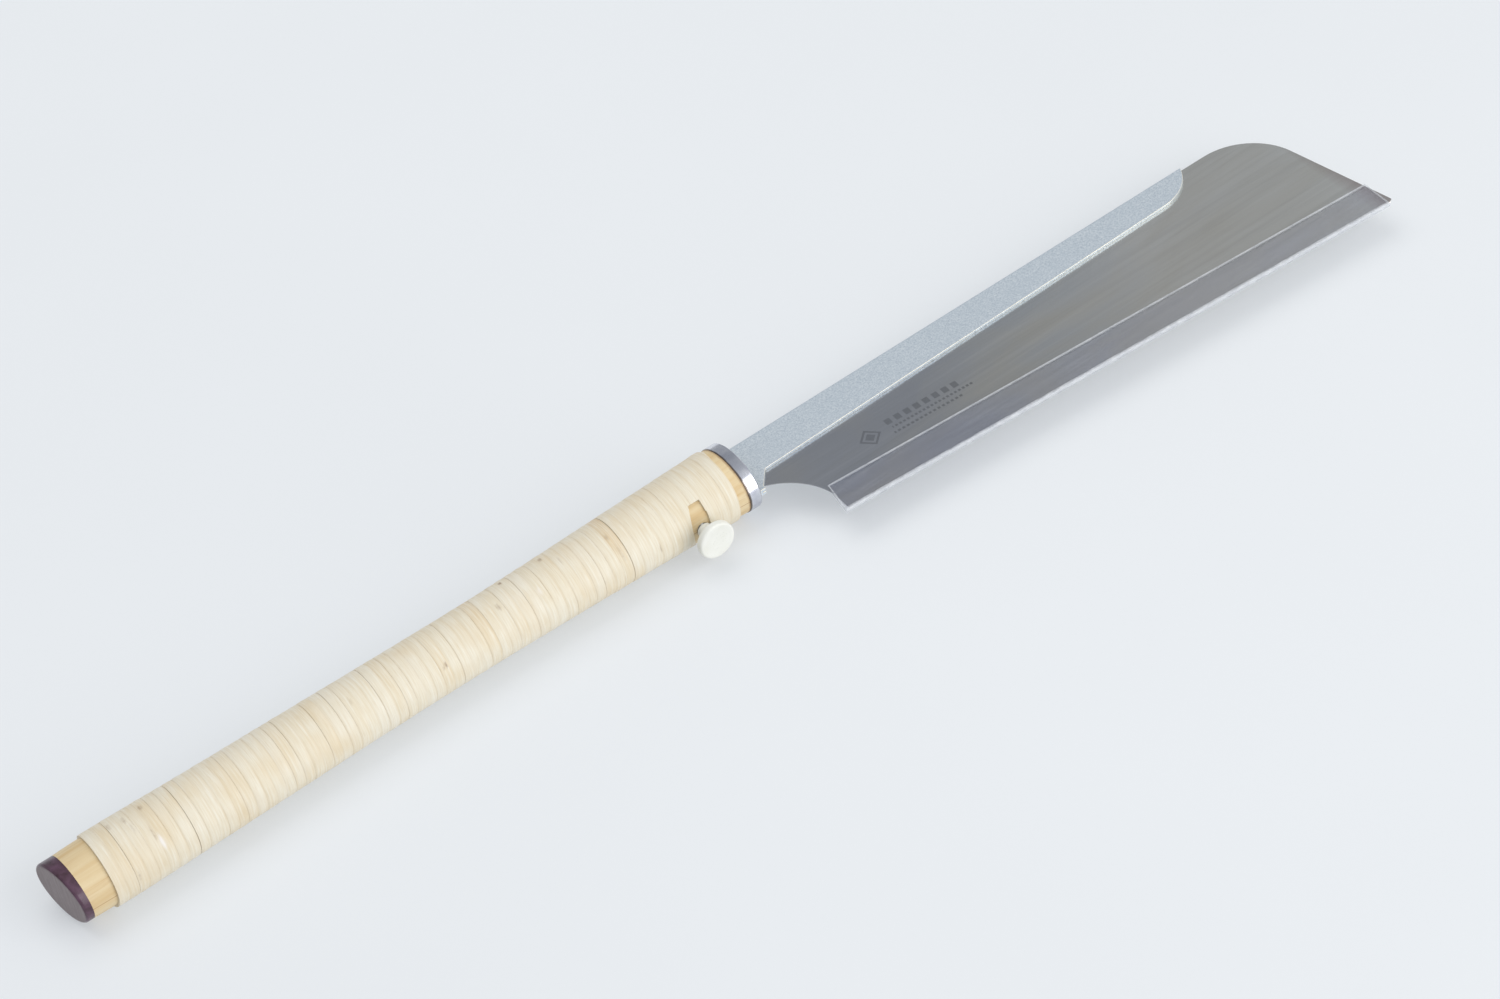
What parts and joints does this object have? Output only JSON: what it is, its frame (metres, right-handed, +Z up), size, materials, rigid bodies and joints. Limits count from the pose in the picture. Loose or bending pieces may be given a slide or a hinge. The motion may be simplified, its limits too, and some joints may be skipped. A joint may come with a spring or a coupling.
{
  "type": "hand saw",
  "caption": "Japanese back saw with a cane-wrapped wooden handle, folded steel back, screw-clamped replaceable blade and clear tooth guard.",
  "frame": {"origin": "on the surface that the saw lies on, under the middle of its outline", "axes": "+X along the handle towards the toe, +Y across the blade towards its back, +Z up, square to the blade"},
  "size_m": [0.5402, 0.076, 0.0251],
  "materials": {
    "wood": "bare, lightly oiled",
    "rattan": "natural cane, low sheen",
    "ferrule_steel": "bright plated",
    "cap_plastic": "semi-gloss",
    "hardware_steel": "zinc plated",
    "knob_plastic": "smooth",
    "blade_steel": "fine ground",
    "spine_steel": "galvanised, matt",
    "guard_plastic": "clear"
  },
  "bodies": {
    "handle": {"handle_half_upper": "wood", "handle_half_lower": "wood", "rattan_wrap_butt": "rattan", "rattan_wrap_rear": "rattan", "rattan_wrap_middle": "rattan", "rattan_wrap_front": "rattan", "ferrule": "ferrule_steel", "end_cap": "cap_plastic", "socket_liner": "hardware_steel", "liner_pin": "hardware_steel", "clamp_nut": "hardware_steel"},
    "blade_unit": {"saw_blade": "blade_steel", "spine": "spine_steel"},
    "guard": {"tooth_guard": "guard_plastic"},
    "shoe": {"clamp_shoe": "hardware_steel"},
    "screw": {"clamp_screw": "hardware_steel", "clamp_knob": "knob_plastic"}
  },
  "joints": [
    {"name": "blade_draw", "type": "slide", "parent": "handle", "child": "blade_unit", "axis": [1, 0, 0], "range_m": [0, 0.062]},
    {"name": "guard_pull", "type": "slide", "parent": "blade_unit", "child": "guard", "axis": [-0.0684, -0.9977, 0], "range_m": [0, 0.025]},
    {"name": "shoe_travel", "type": "slide", "parent": "handle", "child": "shoe", "axis": [0, -1, 0], "range_m": [0, 0.0014]},
    {"name": "screw_turn", "type": "hinge", "parent": "shoe", "child": "screw", "pos_m": [-0.01291, -0.00084, 0.01253], "axis": [0, -1, 0], "range_deg": [0, 720]}
  ],
  "couplings": [
    {"joint": "shoe_travel", "follows": "screw_turn", "m_per_rad": 0.00011141}
  ]
}
